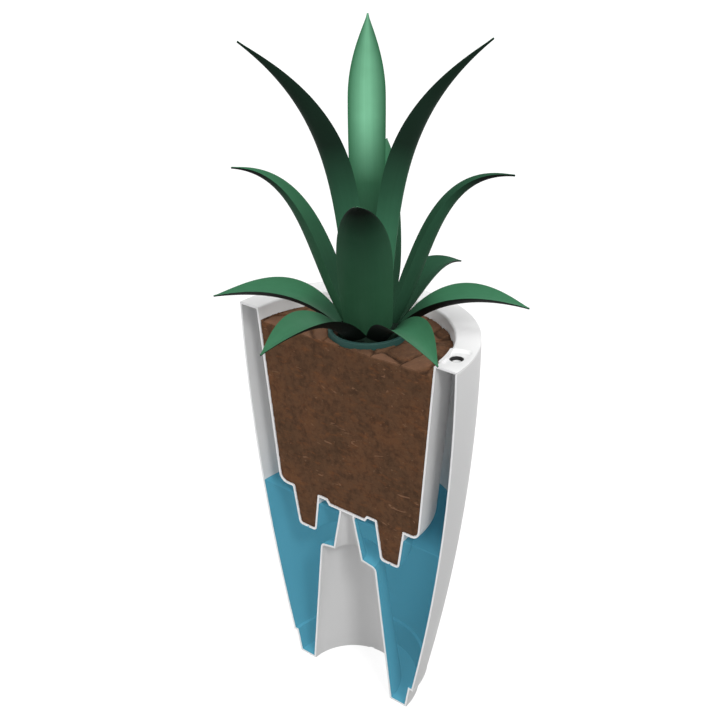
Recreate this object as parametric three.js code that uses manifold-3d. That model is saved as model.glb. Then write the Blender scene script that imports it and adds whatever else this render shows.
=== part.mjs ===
// Tall self-watering planter, cut in half through its axis, with its water, soil and plant.
// Millimetres, +Z up. The planter's axis is modelled at x = y = 0, the cut plane is y = 0 and the
// kept half lies at +y. The last lines move the origin to the middle of the foot ring.

import * as THREE from 'three';
import { mergeVertices } from 'three/addons/utils/BufferGeometryUtils.js';
import Module from 'manifold-3d';

// Overall sizes and clearance
const PLANTER_HEIGHT = 638;
const RIM_RADIUS = 200;
const SEAT_GAP = 0.3; // between two pieces that touch on the real planter

// Outer shell
const SHELL_WALL = 3.2;
const SHELL_FOOT_RADIUS = 127; // outer face at the lower edge
const SHELL_FOOT_HEIGHT = 44;
const SHELL_TAPER_POWER = 1.85; // the wall leans in faster towards the foot

// Base with its hollow column and neck
const BASE_WALL = 3.2;
const STEP_IN = 6.5; // from the shell's outer face to the skirt's outer face
const FOOT_RADIUS = 113;
const COLUMN_FOOT_RADIUS = 83.2; // outer face at the floor
const COLUMN_TOP_RADIUS = 56; // outer face under the shoulder
const COLUMN_HEIGHT = 250;
const SHOULDER_RISE = 4.5;
const SHOULDER_FILLET = 8;
const NECK_FOOT_RADIUS = 29.6;
const NECK_TOP_RADIUS = 14.6;
const NECK_MOUTH = 4; // straight end of the neck under the pot
const DRAIN_GROOVE_WIDTH = 8;
const DRAIN_GROOVE_DEPTH = 1.5;
const DRAIN_GROOVE_ANGLE = 103; // degrees from +x

// Inner pot
const POT_WALL = 3.2;
const POT_MOUTH_RADIUS = 162.6; // inner edge of the rim
const POT_FOOT_RADIUS = 135; // inner face at the floor
const POT_DEPTH = 296; // rim top to the upper face of the floor
const POT_FILLET = 15;
const RIM_FILLET = 2;
const TROUGH_DEPTH = 67.5;
const TROUGH_TOP_OUTER = 109.5;
const TROUGH_FOOT_OUTER = 99;
const TROUGH_TOP_INNER = 57;
const TROUGH_FOOT_INNER = 66.5;
const TROUGH_FILLET = 6;
const DISC_RADIUS = 35;
const DISC_DROP = 7.5; // centre disc below the floor ring
const DISC_SLOPE = 5; // width of the sloping step around the disc
const WICK_HOLE_RADIUS = 2;
const WICK_HOLE_STEP = 30; // degrees

// Fill port in the rim, its sealing grommet and its plug
const PORT_ANGLE = 13.3; // degrees behind the cut
const PORT_INSET = 23.5; // port centre inside the rim's outer edge
const PORT_RADIUS = 10.2;
const PORT_SLEEVE_WALL = 1.6;
const PORT_LIP = 5; // ledge that the grommet and the plug rest on
const PORT_LIP_HEIGHT = 2;
const POCKET_ANGLE = 12.6; // the pocket's middle, degrees behind the cut
const POCKET_DEPTH = 4;
const POCKET_EDGE = 2.6; // wall left standing on each side of the pocket
const POCKET_HALF_LENGTH = 14; // the pocket's middle to the centre of a rounded end
const PORT_BULGE = 2; // the port block stands this far inside the rim's inner edge
const PORT_SHELL_GAP = 1.2; // port block to the shell's inner face
const GROMMET_WALL = 1.5;
const GROMMET_SINK = 0.5; // grommet top below the pocket floor
const PLUG_HEIGHT = 9;
const PLUG_SINK = 5.2; // plug top below the pocket floor
const PLUG_CHAMFER = 0.8;

// Water and soil levels
const WATER_DROP = 5.2; // water surface below the underside of the centre disc
const SOIL_DROP = 19; // soil surface below the rim top

// Plant
const CROWN_Y = 65; // plant centre behind the cut
const COLLAR_RADIUS = 61;
const COLLAR_WALL = 6;
const COLLAR_RISE = 8; // above the soil
const COLLAR_SUNK = 6; // below the soil
const COLLAR_ROUND = 2;
const CROWN_RADIUS = 46;
const CROWN_RISE = 28;
const LEAF_THICKNESS = 4;
const LEAF_TIP_THICKNESS = 0.8;
const LEAF_TIP_WIDTH = 1;
const LEAF_HANDLE = 0.4; // curve handles as a share of the line from root to tip

// Leaf whorls: root is the radius and the height above the soil where a leaf leaves the crown, reach
// and rise place its tip, angles are the leaf's slope at root and tip in degrees, cup is how deep its
// section bends, widest is where along the leaf it has its full half width
const UPPER = {
  root: 30, rootHeight: 21, reach: 183, rise: 439, rootAngle: 86, tipAngle: 43,
  halfWidth: 29, cup: 0.75, widest: 0.5, rootShare: 0.6,
};
const MIDDLE = {
  root: 38, rootHeight: 11, reach: 207, rise: 232, rootAngle: 59, tipAngle: -1,
  halfWidth: 21, cup: 1, widest: 0.25, rootShare: 0.68,
};
const MIDDLE_OPEN = { ...MIDDLE, rootAngle: 62, halfWidth: 36, cup: 0.5, widest: 0.35 };
const LOWER = {
  root: 44, rootHeight: 3, reach: 235, rise: 45, rootAngle: 48, tipAngle: -17,
  halfWidth: 30, cup: 0.5, widest: 0.45, rootShare: 0.45,
};
const LEAVES = [
  { name: 'leaf_upper_right', azimuth: 7, shape: { ...UPPER, reach: 188, halfWidth: 27 } },
  { name: 'leaf_upper_back', azimuth: 127, shape: { ...UPPER, rise: 424, halfWidth: 27, widest: 0.7 } },
  { name: 'leaf_upper_left', azimuth: 247, shape: { ...UPPER, reach: 178, halfWidth: 31 } },
  { name: 'leaf_middle_right', azimuth: 40, shape: MIDDLE },
  { name: 'leaf_middle_back', azimuth: 119.5, shape: MIDDLE_OPEN },
  { name: 'leaf_middle_left', azimuth: 199, shape: MIDDLE },
  {
    name: 'leaf_middle_front',
    azimuth: 306,
    shape: { ...MIDDLE_OPEN, rise: 264, tipAngle: 20, rootShare: 0.9 },
  },
  { name: 'leaf_lower_right', azimuth: 22, shape: { ...LOWER, rise: 62 } },
  { name: 'leaf_lower_back', azimuth: 66, shape: { ...LOWER, reach: 158, rise: 82 } },
  { name: 'leaf_lower_left', azimuth: 209, shape: LOWER },
  {
    name: 'leaf_lower_front_left',
    azimuth: 267,
    shape: { ...LOWER, reach: 219, rootShare: 0.85 },
  },
  {
    name: 'leaf_lower_front_right',
    azimuth: 333,
    shape: { ...LOWER, reach: 216, rise: 40, rootShare: 0.72 },
  },
];

// Facets
const TURN_STEPS = 48; // round a full circle, a multiple of 4 so that corners lie on the cut
const SHELL_STEPS = 14;
const FILLET_STEPS = 4;
const SMALL_ROUND_STEPS = 24;
const WICK_HOLE_SIDES = 8;
const LEAF_STEPS = 14;
const LEAF_SIDES = 10;

const CUT_BOX = 4000; // larger than the planter and its plant
const MERGE_DISTANCE = 1e-4;

// Heights worked out from the sizes above
const RIM_UNDERSIDE = PLANTER_HEIGHT - POT_WALL;
const SHELL_TOP = RIM_UNDERSIDE - SEAT_GAP;
const LEDGE_TOP = SHELL_FOOT_HEIGHT - SEAT_GAP;
const POT_FLOOR = PLANTER_HEIGHT - POT_DEPTH - POT_WALL / 2;
const DISC_HEIGHT = POT_FLOOR - DISC_DROP;
const DISC_UNDERSIDE = DISC_HEIGHT - POT_WALL / 2;
const TROUGH_FLOOR = POT_FLOOR - TROUGH_DEPTH;
const WATER_LEVEL = DISC_UNDERSIDE - WATER_DROP;
const SOIL_LEVEL = PLANTER_HEIGHT - SOIL_DROP;
const POCKET_FLOOR = PLANTER_HEIGHT - POCKET_DEPTH;
const PLUG_TOP = POCKET_FLOOR - PLUG_SINK;
const PLUG_BOTTOM = PLUG_TOP - PLUG_HEIGHT;
const SLEEVE_BOTTOM = PLUG_BOTTOM - SEAT_GAP - PORT_LIP_HEIGHT;
const SLEEVE_RADIUS = PORT_RADIUS + PORT_SLEEVE_WALL;
const PORT_CIRCLE = RIM_RADIUS - PORT_INSET;
const CROWN_FLOOR = SOIL_LEVEL - COLLAR_SUNK;

const wasm = await Module();
wasm.setup();

const point = (radius, height) => new THREE.Vector2(radius, height);
const radians = THREE.MathUtils.degToRad;

// Profile helpers

// A path through corners given as [radius, height, fillet], with each fillet drawn as an arc
function filletPath(corners) {
  return corners.flatMap(([radius, height, fillet], i) => {
    const corner = point(radius, height);
    if (!fillet) {
      return [corner];
    }
    const back = point(corners[i - 1][0], corners[i - 1][1]).sub(corner).normalize();
    const onward = point(corners[i + 1][0], corners[i + 1][1]).sub(corner).normalize();
    const half = back.angleTo(onward) / 2;
    const inward = back.clone().add(onward).normalize();
    const centre = corner.clone().addScaledVector(inward, fillet / Math.sin(half));
    const start = corner.clone().addScaledVector(back, fillet / Math.tan(half)).sub(centre).angle();
    const end = corner.clone().addScaledVector(onward, fillet / Math.tan(half)).sub(centre).angle();
    const clockwise = back.cross(onward) > 0;
    const arc = new THREE.EllipseCurve(centre.x, centre.y, fillet, fillet, start, end, clockwise);
    return arc.getPoints(FILLET_STEPS);
  });
}

// The same path moved sideways, to the left of its direction where the distance is positive
function offsetPath(path, distance) {
  const leftOf = (from, to) => {
    const along = to.clone().sub(from).normalize();
    return point(-along.y, along.x);
  };
  return path.map((here, i) => {
    const before = i > 0 ? leftOf(path[i - 1], here) : leftOf(here, path[i + 1]);
    const after = i < path.length - 1 ? leftOf(here, path[i + 1]) : before;
    const sideways = before.clone().add(after).normalize();
    return here.clone().addScaledVector(sideways, distance / sideways.dot(before));
  });
}

// The outline of a wall of even thickness along a path
function wallOutline(path, thickness) {
  return [...offsetPath(path, -thickness / 2), ...offsetPath(path, thickness / 2).reverse()];
}

// The stretch of a path that lies below a level, with its ends on the level
function belowLevel(path, level) {
  const kept = [];
  path.forEach((here, i) => {
    const before = path[i - 1];
    if (before && (before.y < level) !== (here.y < level)) {
      kept.push(before.clone().lerp(here, (level - before.y) / (here.y - before.y)));
    }
    if (here.y < level) {
      kept.push(here);
    }
  });
  return kept;
}

// Solid helpers

function toSolid(geometry) {
  const bare = geometry.clone();
  bare.deleteAttribute('normal');
  bare.deleteAttribute('uv');
  const merged = mergeVertices(bare, MERGE_DISTANCE);
  const vertProperties = new Float32Array(merged.attributes.position.array);
  const corners = merged.index.array;
  const whole = []; // a turned shape leaves triangles of no area on its axis, which are dropped
  for (let i = 0; i < corners.length; i += 3) {
    const [a, b, c] = corners.slice(i, i + 3);
    if (a !== b && b !== c && c !== a) {
      whole.push(a, b, c);
    }
  }
  const triVerts = new Uint32Array(whole);
  return new wasm.Manifold(new wasm.Mesh({ numProp: 3, vertProperties, triVerts }));
}

function toGeometry(solid) {
  const mesh = solid.getMesh();
  const geometry = new THREE.BufferGeometry();
  geometry.setAttribute('position', new THREE.BufferAttribute(mesh.vertProperties, 3));
  geometry.setIndex(new THREE.BufferAttribute(mesh.triVerts, 1));
  geometry.computeVertexNormals();
  return geometry;
}

// A turned solid about the Z axis; an outline off the axis is closed on itself
function turned(outline, steps = TURN_STEPS) {
  const onAxis = outline[0].x === 0;
  const closed = onAxis ? outline : [...outline, outline[0].clone()];
  return toSolid(new THREE.LatheGeometry(closed, steps).rotateX(Math.PI / 2));
}

function cylinder(radius, bottom, top, x, y, steps = SMALL_ROUND_STEPS) {
  const geometry = new THREE.CylinderGeometry(radius, radius, top - bottom, steps).rotateX(Math.PI / 2);
  return toSolid(geometry.translate(x, y, (top + bottom) / 2));
}

const keptHalf = toSolid(new THREE.BoxGeometry(CUT_BOX, CUT_BOX, CUT_BOX).translate(0, CUT_BOX / 2, 0));
const halved = (solid) => solid.intersect(keptHalf);

// A block that follows the rim between two radii, with rounded ends, for the pocket around the port
function rimBlock(inner, outer, bottom, top) {
  const middle = (inner + outer) / 2;
  const endRadius = (outer - inner) / 2;
  const reach = POCKET_HALF_LENGTH / middle;
  const near = radians(POCKET_ANGLE) - reach;
  const far = radians(POCKET_ANGLE) + reach;
  const shape = new THREE.Shape();
  const roundEnd = (angle, from) => {
    const x = middle * Math.cos(angle);
    const y = middle * Math.sin(angle);
    shape.absarc(x, y, endRadius, from, from + Math.PI, false);
  };
  shape.absarc(0, 0, outer, near, far, false);
  roundEnd(far, far);
  shape.absarc(0, 0, inner, far, near, true);
  roundEnd(near, near + Math.PI);
  const options = { depth: top - bottom, bevelEnabled: false, curveSegments: SMALL_ROUND_STEPS / 2 };
  return toSolid(new THREE.ExtrudeGeometry(shape, options).translate(0, 0, bottom));
}

// Outer shell

function shellRadius(height) {
  const drop = (PLANTER_HEIGHT - height) / (PLANTER_HEIGHT - SHELL_FOOT_HEIGHT);
  return RIM_RADIUS - (RIM_RADIUS - SHELL_FOOT_RADIUS) * drop ** SHELL_TAPER_POWER;
}

// The shell's wall line from foot to top, moved inwards from its outer face
function shellLine(inset) {
  return Array.from({ length: SHELL_STEPS + 1 }, (_, i) => {
    const height = SHELL_FOOT_HEIGHT + ((SHELL_TOP - SHELL_FOOT_HEIGHT) * i) / SHELL_STEPS;
    return point(shellRadius(height) - inset, height);
  });
}

function makeShell() {
  return halved(turned([...shellLine(0), ...shellLine(SHELL_WALL).reverse()]));
}

// Base: the path runs from the ledge under the shell, down the skirt, across the floor and up the column

const ledgeHeight = LEDGE_TOP - BASE_WALL / 2;
const neckTop = DISC_UNDERSIDE - SEAT_GAP;
const basePath = filletPath([
  [SHELL_FOOT_RADIUS, ledgeHeight],
  [SHELL_FOOT_RADIUS - STEP_IN - BASE_WALL / 2, ledgeHeight],
  [FOOT_RADIUS - BASE_WALL / 2, BASE_WALL / 2],
  [COLUMN_FOOT_RADIUS - BASE_WALL / 2, BASE_WALL / 2],
  [COLUMN_TOP_RADIUS - BASE_WALL / 2, COLUMN_HEIGHT, SHOULDER_FILLET],
  [NECK_FOOT_RADIUS - BASE_WALL / 2, COLUMN_HEIGHT + SHOULDER_RISE],
  [NECK_TOP_RADIUS - BASE_WALL / 2, neckTop - NECK_MOUTH],
  [NECK_TOP_RADIUS - BASE_WALL / 2, neckTop],
]);

function makeBase() {
  const body = turned(wallOutline(basePath, BASE_WALL));
  const groove = new THREE.BoxGeometry(FOOT_RADIUS, DRAIN_GROOVE_WIDTH, 2 * DRAIN_GROOVE_DEPTH)
    .translate(FOOT_RADIUS, 0, 0)
    .rotateZ(radians(DRAIN_GROOVE_ANGLE));
  return halved(body.subtract(toSolid(groove)));
}

// Inner pot: the path runs from the axis across the disc, through the trough and up to the rim

const potPath = filletPath([
  [0, DISC_HEIGHT],
  [DISC_RADIUS, DISC_HEIGHT],
  [DISC_RADIUS + DISC_SLOPE, POT_FLOOR],
  [TROUGH_TOP_INNER, POT_FLOOR],
  [TROUGH_FOOT_INNER, TROUGH_FLOOR, TROUGH_FILLET],
  [TROUGH_FOOT_OUTER, TROUGH_FLOOR, TROUGH_FILLET],
  [TROUGH_TOP_OUTER, POT_FLOOR],
  [POT_FOOT_RADIUS + POT_WALL / 2, POT_FLOOR, POT_FILLET],
  [POT_MOUTH_RADIUS + POT_WALL / 2, PLANTER_HEIGHT - POT_WALL / 2, RIM_FILLET],
  [RIM_RADIUS, PLANTER_HEIGHT - POT_WALL / 2],
]);

const portX = PORT_CIRCLE * Math.cos(radians(PORT_ANGLE));
const portY = PORT_CIRCLE * Math.sin(radians(PORT_ANGLE));

function wickHoles() {
  const circle = (TROUGH_FOOT_INNER + TROUGH_FOOT_OUTER) / 2;
  const bottom = TROUGH_FLOOR - POT_WALL;
  const top = TROUGH_FLOOR + POT_WALL;
  const count = 180 / WICK_HOLE_STEP + 1; // over the half turn, both ends counted
  const holes = Array.from({ length: count }, (_, i) => {
    const angle = radians(i * WICK_HOLE_STEP);
    const x = circle * Math.cos(angle);
    const y = circle * Math.sin(angle);
    return cylinder(WICK_HOLE_RADIUS, bottom, top, x, y, WICK_HOLE_SIDES);
  });
  return holes.reduce((all, hole) => all.add(hole));
}

function makePot() {
  const blockInner = POT_MOUTH_RADIUS - PORT_BULGE;
  const blockOuter = RIM_RADIUS - SHELL_WALL - PORT_SHELL_GAP;
  const block = rimBlock(blockInner, blockOuter, POCKET_FLOOR - POT_WALL, PLANTER_HEIGHT);
  const sleeve = cylinder(SLEEVE_RADIUS, SLEEVE_BOTTOM, POCKET_FLOOR, portX, portY);
  const pocket = rimBlock(
    POT_MOUTH_RADIUS + POCKET_EDGE,
    blockOuter - POCKET_EDGE,
    POCKET_FLOOR,
    PLANTER_HEIGHT + POT_WALL,
  );
  const bore = cylinder(PORT_RADIUS, PLUG_BOTTOM - SEAT_GAP, PLANTER_HEIGHT, portX, portY);
  const lipBore = cylinder(PORT_RADIUS - PORT_LIP, SLEEVE_BOTTOM - POT_WALL, PLANTER_HEIGHT, portX, portY);
  const body = turned(wallOutline(potPath, POT_WALL)).add(block).add(sleeve);
  return halved(body.subtract(pocket).subtract(bore).subtract(lipBore).subtract(wickHoles()));
}

const grommetOuter = PORT_RADIUS - SEAT_GAP;
const grommetInner = grommetOuter - GROMMET_WALL;

function makeGrommet() {
  const top = POCKET_FLOOR - GROMMET_SINK;
  const ring = turned([
    point(grommetInner, PLUG_BOTTOM),
    point(grommetOuter, PLUG_BOTTOM),
    point(grommetOuter, top),
    point(grommetInner, top),
  ], SMALL_ROUND_STEPS);
  return ring.translate(portX, portY, 0);
}

function makePlug() {
  const radius = grommetInner - SEAT_GAP;
  const plug = turned([
    point(0, PLUG_BOTTOM),
    point(radius - PLUG_CHAMFER, PLUG_BOTTOM),
    point(radius, PLUG_BOTTOM + PLUG_CHAMFER),
    point(radius, PLUG_TOP - PLUG_CHAMFER),
    point(radius - PLUG_CHAMFER, PLUG_TOP),
    point(0, PLUG_TOP),
  ], SMALL_ROUND_STEPS);
  return plug.translate(portX, portY, 0);
}

// Water: between the base and column, the shell and the pot's trough

function makeWater() {
  const baseSide = belowLevel(offsetPath(basePath, -BASE_WALL / 2 - SEAT_GAP), WATER_LEVEL).reverse();
  const shellSide = belowLevel(shellLine(SHELL_WALL + SEAT_GAP), WATER_LEVEL);
  const potSide = belowLevel(offsetPath(potPath, -POT_WALL / 2 - SEAT_GAP), WATER_LEVEL).reverse();
  const insideShell = baseSide.slice(0, -1); // the last corner is the ledge's end, under the shell
  return halved(turned([...insideShell, ...shellSide, ...potSide]));
}

// Soil: the inside of the pot up to its level, with a pocket for the plant

function makeSoil() {
  const potSide = belowLevel(offsetPath(potPath, POT_WALL / 2 + SEAT_GAP), SOIL_LEVEL);
  const body = turned([...potSide, point(0, SOIL_LEVEL)]);
  const pocket = cylinder(COLLAR_RADIUS + SEAT_GAP, CROWN_FLOOR, PLANTER_HEIGHT, 0, CROWN_Y, TURN_STEPS);
  return halved(body.subtract(pocket));
}

// Plant, modelled about its own axis with z measured from the bottom of the planter

function makeCollar() {
  const bottom = CROWN_FLOOR + SEAT_GAP;
  const top = SOIL_LEVEL + COLLAR_RISE;
  const inner = COLLAR_RADIUS - COLLAR_WALL;
  const ring = filletPath([
    [inner, bottom],
    [COLLAR_RADIUS, bottom],
    [COLLAR_RADIUS, top, COLLAR_ROUND],
    [inner, top, COLLAR_ROUND],
    [inner, bottom],
  ]);
  return turned(ring.slice(0, -1));
}

function leafHalfWidth(shape, along) {
  const swelling = Math.sin((Math.PI / 2) * Math.min(along / shape.widest, 1));
  const narrowing = Math.cos((Math.PI / 2) * Math.max((along - shape.widest) / (1 - shape.widest), 0));
  const share = shape.rootShare + (1 - shape.rootShare) * swelling;
  return Math.max(shape.halfWidth * share * narrowing, LEAF_TIP_WIDTH / 2);
}

// A leaf that leans towards +x: a closed tube of lens-shaped sections along its spine, bent into a cup.
// The swell thickens it on every side, for the socket that it leaves in the crown.
function leafGeometry(shape, swell = 0) {
  const root = point(shape.root, SOIL_LEVEL + shape.rootHeight);
  const tip = point(shape.reach, SOIL_LEVEL + shape.rise);
  const handle = LEAF_HANDLE * root.distanceTo(tip);
  const slope = (degrees) => point(Math.cos(radians(degrees)), Math.sin(radians(degrees)));
  const out = root.clone().addScaledVector(slope(shape.rootAngle), handle);
  const back = tip.clone().addScaledVector(slope(shape.tipAngle), -handle);
  const spine = new THREE.CubicBezierCurve(root, out, back, tip);

  const geometry = new THREE.CylinderGeometry(1, 1, 1, LEAF_SIDES, LEAF_STEPS);
  const position = geometry.attributes.position;
  for (let i = 0; i < position.count; i += 1) {
    const along = position.getY(i) + 0.5;
    const across = position.getX(i);
    const face = position.getZ(i);
    const tangent = spine.getTangent(along);
    const here = spine.getPoint(along).addScaledVector(tangent, along > 0 ? 0 : -swell);
    const halfWidth = leafHalfWidth(shape, along);
    const thickness = THREE.MathUtils.lerp(LEAF_THICKNESS, LEAF_TIP_THICKNESS, along) + 2 * swell;
    const side = -(halfWidth + swell) * across;
    const lift = (shape.cup * side ** 2) / halfWidth + (thickness / 2) * face;
    position.setXYZ(i, here.x - tangent.y * lift, side, here.y + tangent.x * lift);
  }
  return geometry;
}

function placedLeaf(leaf, swell) {
  return toSolid(leafGeometry(leaf.shape, swell).rotateZ(radians(leaf.azimuth)));
}

function makeCrown() {
  const bottom = CROWN_FLOOR + SEAT_GAP;
  const dome = new THREE.EllipseCurve(0, SOIL_LEVEL, CROWN_RADIUS, CROWN_RISE, 0, Math.PI / 2);
  const side = dome.getPoints(FILLET_STEPS).slice(0, -1); // the top point is set on the axis exactly
  const top = point(0, SOIL_LEVEL + CROWN_RISE);
  const bulb = turned([point(0, bottom), point(CROWN_RADIUS, bottom), ...side, top], SMALL_ROUND_STEPS);
  return LEAVES.reduce((solid, leaf) => solid.subtract(placedLeaf(leaf, SEAT_GAP)), bulb);
}

// Materials, one for each node

const finish = (color, roughness) => ({ color, roughness, metalness: 0 });
const WHITE_PLASTIC = finish(0xe8e8ea, 0.45);
const SOIL_BROWN = finish(0x5c3e2a, 0.95);
const WATER_BLUE = finish(0x488ca6, 0.1);
const GROMMET_BLACK = finish(0x141516, 0.7);
const COLLAR_TEAL = finish(0x2d5a5a, 0.5);
const CROWN_DARK = finish(0x16241c, 0.8);
const LEAF_GREEN = finish(0x418c5f, 0.45);

function addPiece(parent, name, geometry, look) {
  const mesh = new THREE.Mesh(geometry, new THREE.MeshStandardMaterial(look));
  mesh.name = name;
  parent.add(mesh);
  return mesh;
}

// Assembly

const planter = new THREE.Group();
addPiece(planter, 'outer_shell', toGeometry(makeShell()), WHITE_PLASTIC);
addPiece(planter, 'base_pan', toGeometry(makeBase()), WHITE_PLASTIC);
addPiece(planter, 'inner_pot', toGeometry(makePot()), WHITE_PLASTIC);
addPiece(planter, 'fill_grommet', toGeometry(makeGrommet()), GROMMET_BLACK);
addPiece(planter, 'fill_plug', toGeometry(makePlug()), WHITE_PLASTIC);
addPiece(planter, 'water', toGeometry(makeWater()), WATER_BLUE);
addPiece(planter, 'soil', toGeometry(makeSoil()), SOIL_BROWN);

const plant = new THREE.Group();
plant.position.y = CROWN_Y;
addPiece(plant, 'collar', toGeometry(makeCollar()), COLLAR_TEAL);
addPiece(plant, 'crown', toGeometry(makeCrown()), CROWN_DARK);
LEAVES.forEach((leaf) => {
  const blade = addPiece(plant, leaf.name, toGeometry(toSolid(leafGeometry(leaf.shape))), LEAF_GREEN);
  blade.rotation.z = radians(leaf.azimuth);
});
planter.add(plant);

// The origin is the middle of the foot ring's underside, behind the axis
const FOOT_MIDDLE = (FOOT_RADIUS + COLUMN_FOOT_RADIUS - BASE_WALL) / 2;
planter.position.y = -FOOT_MIDDLE;

export default planter;
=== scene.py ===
import math

import bmesh
import bpy
from mathutils import Matrix, Quaternion, Vector, noise


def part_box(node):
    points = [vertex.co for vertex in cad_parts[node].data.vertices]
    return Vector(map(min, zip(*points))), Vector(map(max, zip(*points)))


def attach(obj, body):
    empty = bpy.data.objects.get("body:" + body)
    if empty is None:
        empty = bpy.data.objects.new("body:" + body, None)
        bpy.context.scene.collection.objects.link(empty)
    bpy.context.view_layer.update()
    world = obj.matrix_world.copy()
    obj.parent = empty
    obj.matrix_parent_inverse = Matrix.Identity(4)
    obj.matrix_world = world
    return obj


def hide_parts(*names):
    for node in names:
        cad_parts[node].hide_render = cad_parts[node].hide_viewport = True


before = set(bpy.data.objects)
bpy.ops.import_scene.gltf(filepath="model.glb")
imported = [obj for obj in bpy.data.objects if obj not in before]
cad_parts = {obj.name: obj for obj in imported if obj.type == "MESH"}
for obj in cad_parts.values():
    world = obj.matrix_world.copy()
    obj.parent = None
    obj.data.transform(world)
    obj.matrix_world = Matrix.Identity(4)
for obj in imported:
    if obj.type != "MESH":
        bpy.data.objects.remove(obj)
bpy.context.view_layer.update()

# Overall sizes, in metres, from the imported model. The planter's axis lies in the cut plane.
pot_low, pot_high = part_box("inner_pot")
RIM_RADIUS = pot_high.x
PLANTER_HEIGHT = pot_high.z
AXIS_Y = pot_low.y
SHELL_FOOT_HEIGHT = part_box("outer_shell")[0].z
WATER_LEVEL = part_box("water")[1].z
SOIL_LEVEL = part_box("soil")[1].z
GROMMET_LOW, GROMMET_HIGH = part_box("fill_grommet")
PLUG_LOW, PLUG_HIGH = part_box("fill_plug")
COLLAR_LOW, COLLAR_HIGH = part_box("collar")
CROWN_LOW, CROWN_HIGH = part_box("crown")

# The part's own sizes that a box does not show
WALL = 0.0032
SEAT_GAP = 0.0003
SHELL_FOOT_RADIUS = 0.127
SHELL_TAPER_POWER = 1.85
STEP_IN = 0.0065
FOOT_RADIUS = 0.113
COLUMN_FOOT_RADIUS = 0.0832
COLUMN_TOP_RADIUS = 0.056
COLUMN_HEIGHT = 0.250
SHOULDER_RISE = 0.0045
SHOULDER_FILLET = 0.008
NECK_FOOT_RADIUS = 0.0296
NECK_TOP_RADIUS = 0.0146
NECK_MOUTH = 0.004
DRAIN_GROOVE_WIDTH = 0.008
DRAIN_GROOVE_DEPTH = 0.0015
DRAIN_GROOVE_ANGLE = 103
DRAIN_GROOVE_SPAN = (0.5, 1.5)
POT_MOUTH_RADIUS = 0.1626
POT_FOOT_RADIUS = 0.135
POT_DEPTH = 0.296
POT_FILLET = 0.015
RIM_FILLET = 0.002
TROUGH_DEPTH = 0.0675
TROUGH_TOP_OUTER = 0.1095
TROUGH_FOOT_OUTER = 0.099
TROUGH_TOP_INNER = 0.057
TROUGH_FOOT_INNER = 0.0665
TROUGH_FILLET = 0.006
DISC_RADIUS = 0.035
DISC_DROP = 0.0075
DISC_SLOPE = 0.005
WICK_HOLE_RADIUS = 0.002
WICK_HOLE_STEP = 30
HALF_TURN = 180
PORT_RADIUS = 0.0102
PORT_SLEEVE_WALL = 0.0016
PORT_LIP = 0.005
PORT_LIP_HEIGHT = 0.002
PORT_SHELL_GAP = 0.0012
PORT_BULGE = 0.002
POCKET_ANGLE = math.radians(12.6)
POCKET_DEPTH = 0.004
POCKET_EDGE = 0.0026
POCKET_HALF_LENGTH = 0.021
POCKET_END = 0.006
POCKET_END_POWER = 0.5
POCKET_RAMP = 0.006
GROMMET_WALL = 0.0015
GROMMET_EDGE = 0.0004
PLUG_CHAMFER = 0.0008
PLUG_EDGE = 0.0003
PLUG_DISH_TOP_SHARE = 0.62
PLUG_DISH_FLOOR_SHARE = 0.55
COLLAR_WALL = 0.006
COLLAR_ROUNDING = 0.002
LEAF_THICKNESS = 0.004
LEAF_TIP_THICKNESS = 0.0024
LEAF_TIP_WIDTH = 0.0024
LEAF_HANDLE = 0.4

# How far the blunt leaf tips are drawn in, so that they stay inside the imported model's box
LEAF_TIP_INSET = 0.0009

# Heights and places worked out from the sizes above
RIM_UNDERSIDE = PLANTER_HEIGHT - WALL
SHELL_TOP = RIM_UNDERSIDE - SEAT_GAP
LEDGE_HEIGHT = SHELL_FOOT_HEIGHT - SEAT_GAP - WALL / 2
POT_FLOOR = PLANTER_HEIGHT - POT_DEPTH - WALL / 2
DISC_HEIGHT = POT_FLOOR - DISC_DROP
NECK_TOP = DISC_HEIGHT - WALL / 2 - SEAT_GAP
TROUGH_FLOOR = POT_FLOOR - TROUGH_DEPTH
POCKET_FLOOR = PLANTER_HEIGHT - POCKET_DEPTH
PLUG_MIDDLE = (PLUG_LOW + PLUG_HIGH) / 2
SLEEVE_BOTTOM = PLUG_LOW.z - SEAT_GAP - PORT_LIP_HEIGHT
COLLAR_MIDDLE = (COLLAR_LOW + COLLAR_HIGH) / 2
COLLAR_RADIUS = (COLLAR_HIGH.x - COLLAR_LOW.x) / 2
AXIS = Vector((0, AXIS_Y))

# Leaf whorls: root is the radius and the height above the soil where a leaf leaves the crown, reach
# and rise place its tip, angles are the leaf's slope at root and tip in degrees, cup is how deep its
# section bends, widest is where along the leaf it has its full half width, root_share is how much of
# that width it has at its root, and flat_from is where the cup starts to flatten out towards the tip
UPPER = dict(
    root=0.030, root_height=0.021, reach=0.183, rise=0.439, root_angle=86, tip_angle=43,
    cup=0.75, widest=0.5, root_share=0.6,
)
MIDDLE = dict(
    root=0.038, root_height=0.011, reach=0.207, rise=0.232, root_angle=59, tip_angle=-1,
    half_width=0.021, cup=1, widest=0.25, root_share=0.68,
)
MIDDLE_OPEN = dict(MIDDLE, root_angle=62, cup=0.5)
LOWER = dict(
    root=0.044, root_height=0.003, reach=0.235, rise=0.045, root_angle=48, tip_angle=-17,
    half_width=0.030, cup=0.5, widest=0.45, root_share=0.45,
)

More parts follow.
